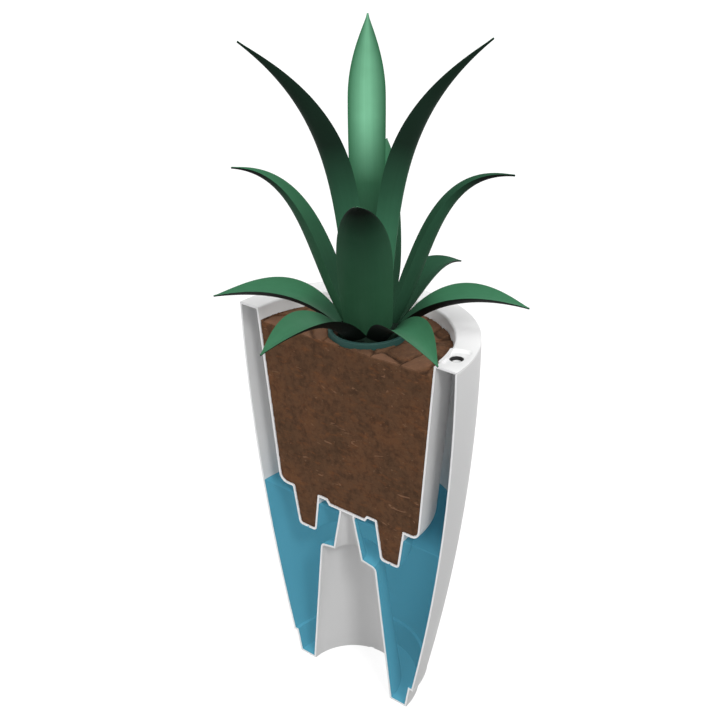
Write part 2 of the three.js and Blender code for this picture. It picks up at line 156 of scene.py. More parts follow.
# Each leaf's direction in degrees, its shape and its colouring
LEAVES = {
    "leaf_upper_right": (
        7, dict(UPPER, reach=0.188, root_angle=84, tip_angle=40, half_width=0.027), "highlit",
    ),
    "leaf_upper_back": (126.6, dict(UPPER, rise=0.424, half_width=0.027, widest=0.7), "highlit"),
    "leaf_upper_left": (
        247, dict(UPPER, reach=0.178, root_angle=84.5, tip_angle=40.5, half_width=0.031), "highlit",
    ),
    "leaf_middle_right": (40, dict(MIDDLE, root_angle=58, tip_angle=-6), "shaded"),
    "leaf_middle_back": (119.5, dict(MIDDLE_OPEN, half_width=0.041), "middle"),
    "leaf_middle_left": (199, dict(MIDDLE, half_width=0.022), "middle"),
    "leaf_middle_front": (
        305,
        dict(
            MIDDLE_OPEN, rise=0.264, tip_angle=20, half_width=0.039, widest=0.35, root_share=0.9,
            flat_from=0.5,
        ),
        "middle",
    ),
    "leaf_lower_right": (22, dict(LOWER, rise=0.062, tip_angle=-13, half_width=0.032), "low"),
    "leaf_lower_back": (
        66, dict(LOWER, reach=0.158, rise=0.080, root_angle=47, tip_angle=-15, half_width=0.032), "shaded",
    ),
    "leaf_lower_left": (209, dict(LOWER, tip_angle=-11, half_width=0.032), "low"),
    "leaf_lower_front_left": (267, dict(LOWER, reach=0.219, root_share=0.85), "low"),
    "leaf_lower_front_right": (333, dict(LOWER, reach=0.216, rise=0.040, root_share=0.72), "low"),
}

# The leaves that shade the rim below them
SHADING_LEAVES = ("leaf_lower_right", "leaf_lower_left")

# Fineness of the meshes
TURN_STEPS = 96
FILLET_STEPS = 8
SHELL_STEPS = 48
ROUND_STEPS = 48
POCKET_END_STEPS = 24
WICK_HOLE_SIDES = 16
LEAF_STEPS = 56
LEAF_SIDES = 32
EDGE_ROUND = 0.0006
EDGE_SEGMENTS = 2
WATER_EDGE = 0.0014
CUT_SKIN = 0.0003
SMOOTH_ANGLE = math.radians(32)
SOIL_VOXEL = 0.0022
ON_AXIS = 1e-7

# How squarely a face looks along an axis to count as facing that way
FACING = 0.5
FACING_FLOOR = 0.9
FACING_SQUARE = 0.99

# The soil's surface
CLUMP_WIDTH = 0.036
CLUMP_LENGTH = 0.08
CLUMP_TILT = 0.12
CRACK_WIDTH = 0.004
CRACK_DEPTH = 0.0035
GRAIN_SIZE = 0.006
GRAIN_HEIGHT = 0.0006
GRAIN_DIMENSION = 1.0
GRAIN_LACUNARITY = 2.0
GRAIN_OCTAVES = 3
CUT_ROUGHNESS = 0.0004
EVEN_TINT = 0.5
CLUMP_SEED_SCALE = 7
SOIL_SLOPE = 0.016
STREAK_SLOPE = math.radians(35)
STREAK_STRETCH = (1, 1, 3)


def point(radius, height):
    return Vector((radius, height))


# Profiles


def fillet_path(corners):
    """A path through corners given as (radius, height) or (radius, height, fillet)."""
    path = []
    for i, (radius, height, *fillet) in enumerate(corners):
        corner = point(radius, height)
        if not fillet:
            path.append(corner)
            continue
        back = (point(*corners[i - 1][:2]) - corner).normalized()
        onward = (point(*corners[i + 1][:2]) - corner).normalized()
        half = back.angle(onward) / 2
        centre = corner + (back + onward).normalized() * (fillet[0] / math.sin(half))
        start = corner + back * (fillet[0] / math.tan(half)) - centre
        end = corner + onward * (fillet[0] / math.tan(half)) - centre
        turn = start.angle_signed(end)
        for step in range(FILLET_STEPS + 1):
            angle = -turn * step / FILLET_STEPS
            path.append(centre + Matrix.Rotation(angle, 2) @ start)
    return path


def offset_path(path, distance):
    """The same path moved sideways, to the left of its direction where the distance is positive."""
    def left_of(start, end):
        along = (end - start).normalized()
        return point(-along.y, along.x)

    moved = []
    for i, here in enumerate(path):
        before = left_of(path[i - 1], here) if i else left_of(here, path[1])
        after = left_of(here, path[i + 1]) if i + 1 < len(path) else before
        sideways = (before + after).normalized()
        moved.append(here + sideways * (distance / sideways.dot(before)))
    return moved


def below_level(path, level):
    """The stretch of a path that lies below a level, with its ends on the level."""
    kept = []
    for i, here in enumerate(path):
        if i and (path[i - 1].y < level) != (here.y < level):
            share = (level - path[i - 1].y) / (here.y - path[i - 1].y)
            kept.append(path[i - 1].lerp(here, share))
        if here.y < level:
            kept.append(here)
    return kept


def shell_line(inset):
    """The shell's wall line from foot to top, moved inwards from its outer face."""
    line = []
    for step in range(SHELL_STEPS + 1):
        height = SHELL_FOOT_HEIGHT + (SHELL_TOP - SHELL_FOOT_HEIGHT) * step / SHELL_STEPS
        drop = (PLANTER_HEIGHT - height) / (PLANTER_HEIGHT - SHELL_FOOT_HEIGHT)
        radius = RIM_RADIUS - (RIM_RADIUS - SHELL_FOOT_RADIUS) * drop**SHELL_TAPER_POWER
        line.append(point(radius - inset, height))
    return line


BASE_PATH = fillet_path([
    (SHELL_FOOT_RADIUS, LEDGE_HEIGHT),
    (SHELL_FOOT_RADIUS - STEP_IN - WALL / 2, LEDGE_HEIGHT),
    (FOOT_RADIUS - WALL / 2, WALL / 2),
    (COLUMN_FOOT_RADIUS - WALL / 2, WALL / 2),
    (COLUMN_TOP_RADIUS - WALL / 2, COLUMN_HEIGHT, SHOULDER_FILLET),
    (NECK_FOOT_RADIUS - WALL / 2, COLUMN_HEIGHT + SHOULDER_RISE),
    (NECK_TOP_RADIUS - WALL / 2, NECK_TOP - NECK_MOUTH),
    (NECK_TOP_RADIUS - WALL / 2, NECK_TOP),
])

POT_PATH = fillet_path([
    (0, DISC_HEIGHT),
    (DISC_RADIUS, DISC_HEIGHT),
    (DISC_RADIUS + DISC_SLOPE, POT_FLOOR),
    (TROUGH_TOP_INNER, POT_FLOOR),
    (TROUGH_FOOT_INNER, TROUGH_FLOOR, TROUGH_FILLET),
    (TROUGH_FOOT_OUTER, TROUGH_FLOOR, TROUGH_FILLET),
    (TROUGH_TOP_OUTER, POT_FLOOR),
    (POT_FOOT_RADIUS + WALL / 2, POT_FLOOR, POT_FILLET),
    (POT_MOUTH_RADIUS + WALL / 2, PLANTER_HEIGHT - WALL / 2, RIM_FILLET),
    (RIM_RADIUS, PLANTER_HEIGHT - WALL / 2),
])


# Meshes


def new_object(name, bm):
    """An object from a bmesh, smooth except at its real edges."""
    bmesh.ops.recalc_face_normals(bm, faces=bm.faces)
    mesh = bpy.data.meshes.new(name)
    bm.to_mesh(mesh)
    bm.free()
    obj = bpy.data.objects.new(name, mesh)
    bpy.context.scene.collection.objects.link(obj)
    shade(obj)
    return obj


def shade(obj):
    mesh = obj.data
    mesh.polygons.foreach_set("use_smooth", [True] * len(mesh.polygons))
    mesh.set_sharp_from_angle(angle=SMOOTH_ANGLE)


def turned_rings(bm, outline, middle, angles):
    """An outline of (radius, height) points at angles about the upright line through a middle point."""
    on_axis = {i: bm.verts.new((*middle.xy, p.y)) for i, p in enumerate(outline) if p.x < ON_AXIS}
    rings = []
    for angle in angles:
        across, behind = math.cos(angle), math.sin(angle)
        rings.append([
            on_axis.get(i) or bm.verts.new((middle.x + p.x * across, middle.y + p.x * behind, p.y))
            for i, p in enumerate(outline)
        ])
    return rings


def join_rings(bm, rings):
    """Faces from each ring to the next, with three corners where two meet on the axis."""
    for here, there in zip(rings, rings[1:]):
        for i in range(len(here)):
            j = (i + 1) % len(here)
            corners = list(dict.fromkeys([here[i], here[j], there[j], there[i]]))
            if len(corners) > 2:
                bm.faces.new(corners)


def half_turned(name, outline, paired=False):
    """A closed half turn about the planter's axis of an outline of (radius, height) points. In a paired
    outline the second half runs back along the first, and the cut faces are strips of quads."""
    bm = bmesh.new()
    count = len(outline)
    angles = [math.pi * step / TURN_STEPS for step in range(TURN_STEPS + 1)]
    rings = turned_rings(bm, outline, AXIS, angles)
    join_rings(bm, rings)
    for ring in (rings[0], rings[-1]):
        if not paired:
            bm.faces.new(ring)
            continue
        for i in range(count // 2 - 1):
            bm.faces.new([ring[i], ring[i + 1], ring[count - 2 - i], ring[count - 1 - i]])
    return new_object(name, bm)


def half_wall(name, path):
    """A half turn of a wall of even thickness along a path."""
    outline = offset_path(path, -WALL / 2) + offset_path(path, WALL / 2)[::-1]
    return half_turned(name, outline, paired=True)


def turned(name, outline, middle):
    """A whole turn of a closed outline about the upright line through a middle point."""
    bm = bmesh.new()
    angles = [2 * math.pi * step / ROUND_STEPS for step in range(ROUND_STEPS)]
    rings = turned_rings(bm, outline, middle, angles)
    join_rings(bm, rings + rings[:1])
    return new_object(name, bm)


def prism(name, outline, bottom, top, top_outline=None):
    """A block of an outline of (x, y) points, straight or changing evenly to another at its top."""
    bm = bmesh.new()
    low = [bm.verts.new((p.x, p.y, bottom)) for p in outline]
    high = [bm.verts.new((p.x, p.y, top)) for p in top_outline or outline]
    bm.faces.new(low)
    bm.faces.new(high)
    for i in range(len(outline)):
        j = (i + 1) % len(outline)
        bm.faces.new([low[i], low[j], high[j], high[i]])
    return new_object(name, bm)


def circle(radius, x, y, steps=ROUND_STEPS):
    angles = [2 * math.pi * step / steps for step in range(steps)]
    return [Vector((x + radius * math.cos(a), y + radius * math.sin(a))) for a in angles]


def arc(x, y, radius, start, end, steps=ROUND_STEPS // 2):
    angles = [start + (end - start) * step / steps for step in range(steps + 1)]
    return [Vector((x + radius * math.cos(a), y + radius * math.sin(a))) for a in angles]


def rim_outline(inner, outer, half_length):
    """An outline that follows the rim between two radii, with flat rounded ends, around the port."""
    middle = (inner + outer) / 2
    reach = half_length / middle
    near, far = POCKET_ANGLE - reach, POCKET_ANGLE + reach

    def flat_end(angle, side):
        outward = Vector((math.cos(angle), math.sin(angle)))
        onward = Vector((-outward.y, outward.x)) * side
        centre = outward * middle + AXIS
        half_width = (outer - inner) / 2 * side
        turns = [math.pi * step / POCKET_END_STEPS for step in range(1, POCKET_END_STEPS)]
        end = onward * POCKET_END
        return [
            centre + outward * half_width * math.cos(t) + end * math.sin(t) ** POCKET_END_POWER
            for t in turns
        ]

    outline = arc(0, AXIS_Y, outer, near, far) + flat_end(far, 1)
    return outline + arc(0, AXIS_Y, inner, far, near) + flat_end(near, -1)


def apply_modifiers(obj):
    graph = bpy.context.evaluated_depsgraph_get()
    obj.data = bpy.data.meshes.new_from_object(obj.evaluated_get(graph))
    obj.modifiers.clear()
    shade(obj)


def carve(obj, tools, operation):
    """Cuts or joins other objects into one, and removes them."""
    for tool in tools:
        modifier = obj.modifiers.new("carve", "BOOLEAN")
        modifier.object = tool
        modifier.operation = operation
        modifier.solver = "EXACT"
    apply_modifiers(obj)
    for tool in tools:
        bpy.data.objects.remove(tool)


def round_edges(obj, width=EDGE_ROUND):
    bevel = obj.modifiers.new("rounded edges", "BEVEL")
    bevel.width = width
    bevel.segments = EDGE_SEGMENTS
    bevel.limit_method = "ANGLE"
    bevel.angle_limit = SMOOTH_ANGLE
    bevel.harden_normals = True


def finish_piece(obj, body, slot, material, *nodes):
    obj.data.materials.clear()
    obj.data.materials.append(material)
    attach(obj, body)
    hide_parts(*nodes)


# Shader nodes


class Graph:
    """A material's node tree, with its Principled shader."""

    def __init__(self, name):
        self.material = bpy.data.materials.new(name)
        self.material.use_nodes = True
        self.tree = self.material.node_tree
        self.shader = self.tree.nodes["Principled BSDF"]

    def add(self, kind, settings=None, **inputs):
        """A node of a kind; an input is a value, or an output to link from."""
        node = self.tree.nodes.new(kind)
        for key, value in (settings or {}).items():
            setattr(node, key, value)
        for key, value in inputs.items():
            self.put(node.inputs[key.replace("_", " ")], value)
        return node

    def put(self, socket, value):
        if isinstance(value, bpy.types.NodeSocket):
            self.tree.links.new(value, socket)
        else:
            socket.default_value = value

    def set(self, **inputs):
        """Values or links for the Principled shader's own sockets."""
        for key, value in inputs.items():
            self.put(self.shader.inputs[key.replace("_", " ")], value)

    def places(self):
        return self.add("ShaderNodeTexCoord").outputs["Object"]

    def noise(self, scale, detail=3.0, roughness=0.55, vector=None, distortion=0.0):
        node = self.add("ShaderNodeTexNoise", Scale=scale, Detail=detail, Roughness=roughness)
        node.inputs["Distortion"].default_value = distortion
        self.put(node.inputs["Vector"], vector or self.places())
        return node.outputs["Fac"]

    def ramp(self, fac, stops):
        """A colour ramp through (place, colour) stops."""
        node = self.add("ShaderNodeValToRGB", Fac=fac)
        elements = node.color_ramp.elements
        while len(elements) < len(stops):
            elements.new(0.5)
        for element, (place, tint) in zip(elements, stops):
            element.position = place
            element.color = (*tint, 1)
        return node.outputs["Color"]

    def span(self, value, low, high, start=0.0, end=1.0):
        """A value mapped from start..end to low..high."""
        node = self.add("ShaderNodeMapRange", Value=value)
        node.inputs["From Min"].default_value = start
        node.inputs["From Max"].default_value = end
        node.inputs["To Min"].default_value = low
        node.inputs["To Max"].default_value = high
        return node.outputs["Result"]

    def math(self, operation, a, b=0.0):
        node = self.add("ShaderNodeMath", {"operation": operation})
        self.put(node.inputs[0], a)
        self.put(node.inputs[1], b)
        return node.outputs["Value"]

    def mix(self, fac, a, b, blend="MIX"):
        node = self.add("ShaderNodeMix", {"data_type": "RGBA", "blend_type": blend})
        self.put(node.inputs["Factor"], fac)
        self.put(node.inputs[6], a)
        self.put(node.inputs[7], b)
        return node.outputs[2]

    def bump(self, height, distance, strength):
        node = self.add("ShaderNodeBump", Height=height, Distance=distance, Strength=strength)
        return node.outputs["Normal"]


def colour(red, green, blue):
    """A linear colour from the usual 0 to 255 values, by the sRGB curve."""
    def linear(value):
        share = value / 255
        return share / 12.92 if share <= 0.04045 else ((share + 0.055) / 1.055) ** 2.4

    return linear(red), linear(green), linear(blue)


# The part of a noise's range that the materials use
NOISE_LOW = 0.3
NOISE_HIGH = 0.7

# How deep the materials' fine reliefs look, in metres
PLASTIC_RELIEF = 0.00008
RUBBER_RELIEF = 0.0002
WATER_RELIEF = 0.0004
SOIL_RELIEF = 0.0016
LEAF_RELIEF = 0.0003
CROWN_RELIEF = 0.0006

# Colours of the plastics and the water as 0 to 255 values, which the materials vary a little
# The shell, base and pot whites differ only for how brightly each is lit: painted shade on the shell and
# base, painted light on the pot
SHELL_WHITE = (209, 209, 209)
BASE_WHITE = (213, 213, 213)
POT_WHITE = (224, 224, 224)
# Painted light: the paler white of the cut faces stands in for the light they catch
CUT_PAINTED_LIGHT = (242, 242, 243)
COLLAR_TEAL = (42, 73, 68)
MOTTLE = 3
WATER_BLUE = (85, 160, 183)
# Painted light: the paler blue where the water lies on floors and ledges stands in for the light on those
# upward faces
WATER_FLOOR_PAINTED_LIGHT = (102, 186, 211)
WATER_DRIFT = 6
CLEAR_WATER = 0.45

# Colours of the rubber, the soil and the plant
# Black rubber; its black also stands in for the shade down in the fill port's bore, painted shade
RUBBER_BLACK_AND_BORE_SHADE = colour(14, 14, 15)
RUBBER_DUST = colour(30, 30, 31)
SOIL_DARK = colour(85, 63, 46)
SOIL_BROWN = colour(97, 70, 51)
SOIL_WARM = colour(108, 74, 51)
SOIL_CRUMB = colour(56, 40, 30)
SOIL_RED = colour(133, 82, 49)
SOIL_FLECK = colour(170, 136, 106)
SOIL_CHIP = colour(160, 118, 92)
# Painted shade, for the cracks between the clumps and the soil inside the collar
SOIL_CRACK_SHADE = colour(34, 24, 18)
SOIL_CLUMP = colour(138, 102, 80)
# Painted shade: the crown's near-black greens stand for the shade under the leaves around it
CROWN_SHADE_DARK = colour(9, 16, 12)
CROWN_SHADE_GREEN = colour(24, 42, 32)
# Painted shade: the darker root colour stands for the shade where the leaves crowd at the crown
LEAF_ROOT_SHADE = colour(40, 73, 54)
LEAF_GREEN = colour(54, 103, 74)
# Painted highlight along the middle of the upper faces
LEAF_PAINTED_HIGHLIGHT = colour(57, 108, 79)
# Underside colours: painted shade, darkest where the undersides face down
LEAF_UNDER = colour(42, 77, 57)
MIDDLE_ROOT = colour(47, 86, 62)
LEAF_PAINTED_SHADE = colour(7, 12, 9)
# Painted shade: a darker copy of the leaf green for leaves that sit in shade
SHADED_GREEN = colour(39, 75, 55)
# A strong painted highlight along the middle of the upper leaves
UPPER_PAINTED_HIGHLIGHT = colour(117, 176, 143)
# The upper leaves' underside colours, painted shade
UPPER_UNDER_ROOT = colour(60, 111, 83)
UPPER_UNDER_SHADE = colour(26, 44, 34)

# Places on a leaf's skin: shares of the way around it from an edge, then shares of its length
UPPER_MIDDLE = 0.25
UNDERSIDE_FROM = 0.5
# How far from the middle, across the upper face, the painted highlight is full, and where it ends
HIGHLIGHT_BAND = (0.03, 0.2)
# The painted highlight fades in from this share of the point where the root's painted shade ends, and
# keeps this much of itself at the tip
HIGHLIGHT_FADE_IN = 0.65
HIGHLIGHT_AT_TIP = (0.6, 0.6, 0.6)
# Where along the leaf the underside's three colours of painted shade sit
UNDERSIDE_STOPS = (0.25, 0.6, 0.84)
VEIN_STRETCH = (60, 1.2, 1)

# What a leaf's blotches and veins multiply its colour by
LEAF_BLOTCH = (0.82, 0.85, 0.82, 1)
VEIN_TINT = (1.06, 1.06, 1.06, 1)


def plastic(name, skin, cut, roughness, specular=0.5):
    """Moulded plastic with a faint mottle and a fine moulded grain, with a paler colour painted on
    its cut faces as painted light.
    """
    g = Graph(name)
    cloud = g.noise(9, detail=4)
    grain = g.noise(1400, detail=2)
    depth = g.add("ShaderNodeSeparateXYZ", Vector=g.places()).outputs["Y"]
    at_cut = g.math("LESS_THAN", depth, AXIS_Y + CUT_SKIN)

    def mottled(full):
        darker = [value - MOTTLE for value in full]
        return g.ramp(cloud, [(NOISE_LOW, colour(*darker)), (NOISE_HIGH, colour(*full))])

    g.set(
        # Painted light: the cut faces get the paler colour
        Base_Color=g.mix(at_cut, mottled(skin), mottled(cut)),
        Roughness=g.span(cloud, roughness - 0.05, roughness + 0.05, NOISE_LOW, NOISE_HIGH),
        Specular_IOR_Level=specular,
        Normal=g.bump(grain, PLASTIC_RELIEF, 0.5),
    )
    return g.material


def rubber():
    g = Graph("grommet rubber")
    dust = g.noise(300, detail=4)
    g.set(
        Base_Color=g.ramp(dust, [(0.35, RUBBER_BLACK_AND_BORE_SHADE), (0.8, RUBBER_DUST)]),
        Roughness=g.span(dust, 0.6, 0.85, NOISE_LOW, NOISE_HIGH),
        Normal=g.bump(dust, RUBBER_RELIEF, 0.4),
    )
    return g.material


def water_material(name, blue, alpha=1):
    g = Graph(name)
    drift = g.noise(6, detail=2)
    ripple = g.noise(40, detail=2)
    paler = [value + WATER_DRIFT for value in blue]
    g.set(
        Base_Color=g.ramp(drift, [(NOISE_LOW, colour(*blue)), (NOISE_HIGH, colour(*paler))]),
        Alpha=alpha,
        Roughness=0.25,
        IOR=1.33,
        Specular_IOR_Level=0.1,
        Normal=g.bump(ripple, WATER_RELIEF, 0.1),
    )
    return g.material


def soil_material():
    """Dark crumbs with reddish streaks, pale flecks and a few chips of bark. Clumps on top differ in
    tint, and painted shade darkens the cracks between them and the soil inside the collar."""
    g = Graph("potting soil")
    clouds = g.noise(11, detail=5, roughness=0.6, distortion=0.4)
    crumbs = g.noise(90, detail=8, roughness=0.7)
    grit = g.noise(420, detail=6, roughness=0.7)
    base = g.ramp(clouds, [(NOISE_LOW, SOIL_DARK), (0.5, SOIL_BROWN), (NOISE_HIGH, SOIL_WARM)])
    base = g.mix(g.span(crumbs, 0.6, 0, 0.35, 0.55), base, (*SOIL_CRUMB, 1))
    streaks = g.add("ShaderNodeMapping", Vector=g.places())
    streaks.inputs["Rotation"].default_value = (0, STREAK_SLOPE, 0)
    streaks.inputs["Scale"].default_value = STREAK_STRETCH
    red = g.noise(55, detail=6, roughness=0.75, vector=streaks.outputs["Vector"])
    base = g.mix(g.span(red, 0, 0.65, 0.54, 0.72), base, (*SOIL_RED, 1))
    pale = g.noise(260, detail=3, roughness=0.7)
    base = g.mix(g.span(pale, 0, 0.7, 0.64, 0.76), base, (*SOIL_FLECK, 1))
    chips = g.noise(38, detail=2, vector=streaks.outputs["Vector"], distortion=1.2)
    base = g.mix(g.span(chips, 0, 0.5, 0.68, 0.72), base, (*SOIL_CHIP, 1))
    clump = g.add("ShaderNodeAttribute", {"attribute_name": "clump"}).outputs["Fac"]
    # Painted shade where the tint is low: in the cracks and inside the collar
    base = g.mix(g.span(clump, 0.7, 0, 0, 0.4), base, (*SOIL_CRACK_SHADE, 1))
    base = g.mix(g.span(clump, 0, 0.55, 0.5, 1), base, (*SOIL_CLUMP, 1))
    height = g.math("ADD", g.math("MULTIPLY", crumbs, 0.6), g.math("MULTIPLY", grit, 0.4))
    g.set(
        Base_Color=base,
        Roughness=g.span(grit, 0.85, 1.0, NOISE_LOW, NOISE_HIGH),
        Specular_IOR_Level=0.1,
        Normal=g.bump(height, SOIL_RELIEF, 0.8),
    )
    return g.material


def leaf_material(name, green, pale, root_shade_end, unders):
    """Smooth fleshy leaf with fine lengthwise veins. Its upper face has painted shade at the root, is
    green from a given share of its length on, with a painted highlight along the middle beyond it.
    Its underside has three colours of painted shade from root to tip, darkest at the tip."""
    g = Graph(name)
    uv = g.add("ShaderNodeUVMap", {"uv_map": "Leaf"}).outputs["UV"]
    split = g.add("ShaderNodeSeparateXYZ", Vector=uv)
    around, along = split.outputs["X"], split.outputs["Y"]
    drift = g.noise(14, detail=3)
    vein_place = g.add("ShaderNodeMapping", Vector=uv)
    vein_place.inputs["Scale"].default_value = VEIN_STRETCH
    veins = g.noise(1.5, detail=2, vector=vein_place.outputs["Vector"])
    from_middle = g.math("ABSOLUTE", g.math("SUBTRACT", around, UPPER_MIDDLE))
    # Painted highlight: paler along the middle of the upper face
    upper = g.mix(g.span(from_middle, 1, 0, *HIGHLIGHT_BAND), (*green, 1), (*pale, 1))
    highlight_share = g.ramp(along, [(root_shade_end * HIGHLIGHT_FADE_IN, (0, 0, 0)), (root_shade_end, (1, 1, 1)), (1.0, HIGHLIGHT_AT_TIP)])
    # Painted shade: the upper face darkens towards the root
    upper = g.mix(highlight_share, g.ramp(along, [(root_shade_end / 3, LEAF_ROOT_SHADE), (root_shade_end, green)]), upper)
    # Painted shade on the underside
    under = g.ramp(along, list(zip(UNDERSIDE_STOPS, unders)))
    base = g.mix(g.math("GREATER_THAN", around, UNDERSIDE_FROM), upper, under)
    base = g.mix(g.span(drift, 0, 1, 0.4, 0.8), base, LEAF_BLOTCH, "MULTIPLY")
    base = g.mix(g.span(veins, 0, 1, 0.4, 0.7), base, VEIN_TINT, "MULTIPLY")
    g.set(
        Base_Color=base,
        Roughness=g.span(veins, 0.5, 0.6, NOISE_LOW, NOISE_HIGH),
        Specular_IOR_Level=0.05,
        Normal=g.bump(veins, LEAF_RELIEF, 0.2),
    )
    return g.material


# A dark green crown whose near-black colour is painted shade
def crown_material():
    g = Graph("crown")
    fibres = g.noise(160, detail=5)
    g.set(
        Base_Color=g.ramp(fibres, [(NOISE_LOW, CROWN_SHADE_DARK), (NOISE_HIGH, CROWN_SHADE_GREEN)]),
        Roughness=0.8,
        Specular_IOR_Level=0.05,
        Normal=g.bump(fibres, CROWN_RELIEF, 0.5),
    )
    return g.material


# Pieces


def make_shell(material):
    outline = shell_line(0) + shell_line(WALL)[::-1]
    shell = half_turned("shell_moulding", outline, paired=True)
    round_edges(shell)
    finish_piece(shell, "casing", "shell_plastic", material, "outer_shell")


def make_base(material):
    base = half_wall("base_moulding", BASE_PATH)
    angle = math.radians(DRAIN_GROOVE_ANGLE)
    along = Vector((math.cos(angle), math.sin(angle)))
    aside = Vector((-along.y, along.x)) * (DRAIN_GROOVE_WIDTH / 2)
    start, end = [along * (FOOT_RADIUS * share) for share in DRAIN_GROOVE_SPAN]
    corners = [start - aside, end - aside, end + aside, start + aside]
    corners = [corner + AXIS for corner in corners]
    groove = prism("groove", corners, -DRAIN_GROOVE_DEPTH, DRAIN_GROOVE_DEPTH)
    carve(base, [groove], "DIFFERENCE")
    round_edges(base)
    finish_piece(base, "casing", "base_plastic", material, "base_pan")


def make_pot(material):
    pot = half_wall("pot_moulding", POT_PATH)
    x, y = PLUG_MIDDLE.x, PLUG_MIDDLE.y
    outer = RIM_RADIUS - WALL - PORT_SHELL_GAP
    outline = rim_outline(POT_MOUTH_RADIUS - PORT_BULGE, outer, POCKET_HALF_LENGTH)
    block = prism("block", outline, POCKET_FLOOR - WALL, PLANTER_HEIGHT)
    sleeve = prism("sleeve", circle(PORT_RADIUS + PORT_SLEEVE_WALL, x, y), SLEEVE_BOTTOM, POCKET_FLOOR)
    carve(pot, [block, sleeve], "UNION")
    sides = POT_MOUTH_RADIUS + POCKET_EDGE, outer - POCKET_EDGE
    floor = rim_outline(*sides, POCKET_HALF_LENGTH - POCKET_RAMP)
    mouth = rim_outline(*sides, POCKET_HALF_LENGTH + POCKET_RAMP * WALL / POCKET_DEPTH)
    pocket = prism("pocket", floor, POCKET_FLOOR, PLANTER_HEIGHT + WALL, mouth)
    bore = prism("bore", circle(PORT_RADIUS, x, y), PLUG_LOW.z - SEAT_GAP, PLANTER_HEIGHT)
    lip = prism("lip", circle(PORT_RADIUS - PORT_LIP, x, y), SLEEVE_BOTTOM - WALL, PLANTER_HEIGHT)
    holes = []
    wick_circle = (TROUGH_FOOT_INNER + TROUGH_FOOT_OUTER) / 2
    for degrees in range(0, HALF_TURN + 1, WICK_HOLE_STEP):
        angle = math.radians(degrees)
        place = (wick_circle * math.cos(angle), AXIS_Y + wick_circle * math.sin(angle))
        outline = circle(WICK_HOLE_RADIUS, *place, steps=WICK_HOLE_SIDES)
        holes.append(prism("wick hole", outline, TROUGH_FLOOR - WALL, TROUGH_FLOOR + WALL))
    carve(pot, [pocket, bore, lip, *holes], "DIFFERENCE")
    round_edges(pot)
    finish_piece(pot, "pot", "pot_plastic", material, "inner_pot")


def make_grommet(material):
    radius = (GROMMET_HIGH.x - GROMMET_LOW.x) / 2
    ring = turned("grommet_ring", [
        point(radius - GROMMET_WALL, GROMMET_LOW.z),
        point(radius, GROMMET_LOW.z),
        point(radius, GROMMET_HIGH.z),
        point(radius - GROMMET_WALL, GROMMET_HIGH.z),
    ], PLUG_MIDDLE)
    round_edges(ring, GROMMET_EDGE)
    finish_piece(ring, "pot", "grommet_rubber", material, "fill_grommet")


def make_plug(material):
    radius = (PLUG_HIGH.x - PLUG_LOW.x) / 2
    plug = turned("plug_disc", [
        point(0, PLUG_LOW.z),
        point(radius - PLUG_CHAMFER, PLUG_LOW.z),
        point(radius, PLUG_LOW.z + PLUG_CHAMFER),
        point(radius, PLUG_HIGH.z - PLUG_CHAMFER),
        point(radius - PLUG_CHAMFER, PLUG_HIGH.z),
        point(radius * PLUG_DISH_TOP_SHARE, PLUG_HIGH.z),
        point(radius * PLUG_DISH_FLOOR_SHARE, PLUG_HIGH.z - PLUG_CHAMFER),
        point(0, PLUG_HIGH.z - PLUG_CHAMFER),
    ], PLUG_MIDDLE)
    round_edges(plug, PLUG_EDGE)
    finish_piece(plug, "plug", "plug_plastic", material, "fill_plug")


def make_water(surface, depth, painted_light_floor):
    """Water that is clear at its free surface and its cut and deep blue on the walls, with painted light
    on the floors and ledges: a paler blue where it lies on them.
    """
    base_side = below_level(offset_path(BASE_PATH, -WALL / 2 - SEAT_GAP), WATER_LEVEL)[::-1]
    shell_side = below_level(shell_line(WALL + SEAT_GAP), WATER_LEVEL)
    pot_side = below_level(offset_path(POT_PATH, -WALL / 2 - SEAT_GAP), WATER_LEVEL)[::-1]
    water = half_turned("water_body", base_side[:-1] + shell_side + pot_side)
    round_edges(water, WATER_EDGE)
    water.visible_shadow = False
    finish_piece(water, "casing", "water", surface, "water")
    water.data.materials.append(depth)
    water.data.materials.append(painted_light_floor)
    for face in water.data.polygons:
        at_cut = face.normal.y < -FACING_SQUARE
        on_top = face.normal.z > FACING_SQUARE and face.center.z > WATER_LEVEL - SEAT_GAP
        if at_cut or on_top:
            face.material_index = 0
        # Painted light: faces that lie on floors and ledges get the paler blue
        elif face.normal.z < -FACING_FLOOR:
            face.material_index = 2
        else:
            face.material_index = 1


def grain_at(place):
    return noise.fractal(place / GRAIN_SIZE, GRAIN_DIMENSION, GRAIN_LACUNARITY, GRAIN_OCTAVES)


def soil_clump(x, y):
    """Height and tint of the soil's top at a place: tilted clumps with straight cracks between them.
    The tint is lowest in the cracks, where the material paints shade.
    """
    place = Vector((x, y, 0))
    cell = Vector((x / CLUMP_WIDTH, y / CLUMP_LENGTH, 0))
    distances, seeds = noise.voronoi(cell)
    chance = noise.cell_vector(seeds[0] * CLUMP_SEED_SCALE)
    from_seed = cell - Vector(seeds[0])
    tilt = CLUMP_TILT * CLUMP_WIDTH * ((chance.x - 0.5) * from_seed.x + (chance.y - 0.5) * from_seed.y)
    crack = min((distances[1] - distances[0]) * CLUMP_WIDTH / CRACK_WIDTH, 1)
    height = SOIL_SLOPE * x + tilt + CRACK_DEPTH * (crack - 1) + GRAIN_HEIGHT * grain_at(place)
    return height, crack * (EVEN_TINT + chance.z * (1 - EVEN_TINT))


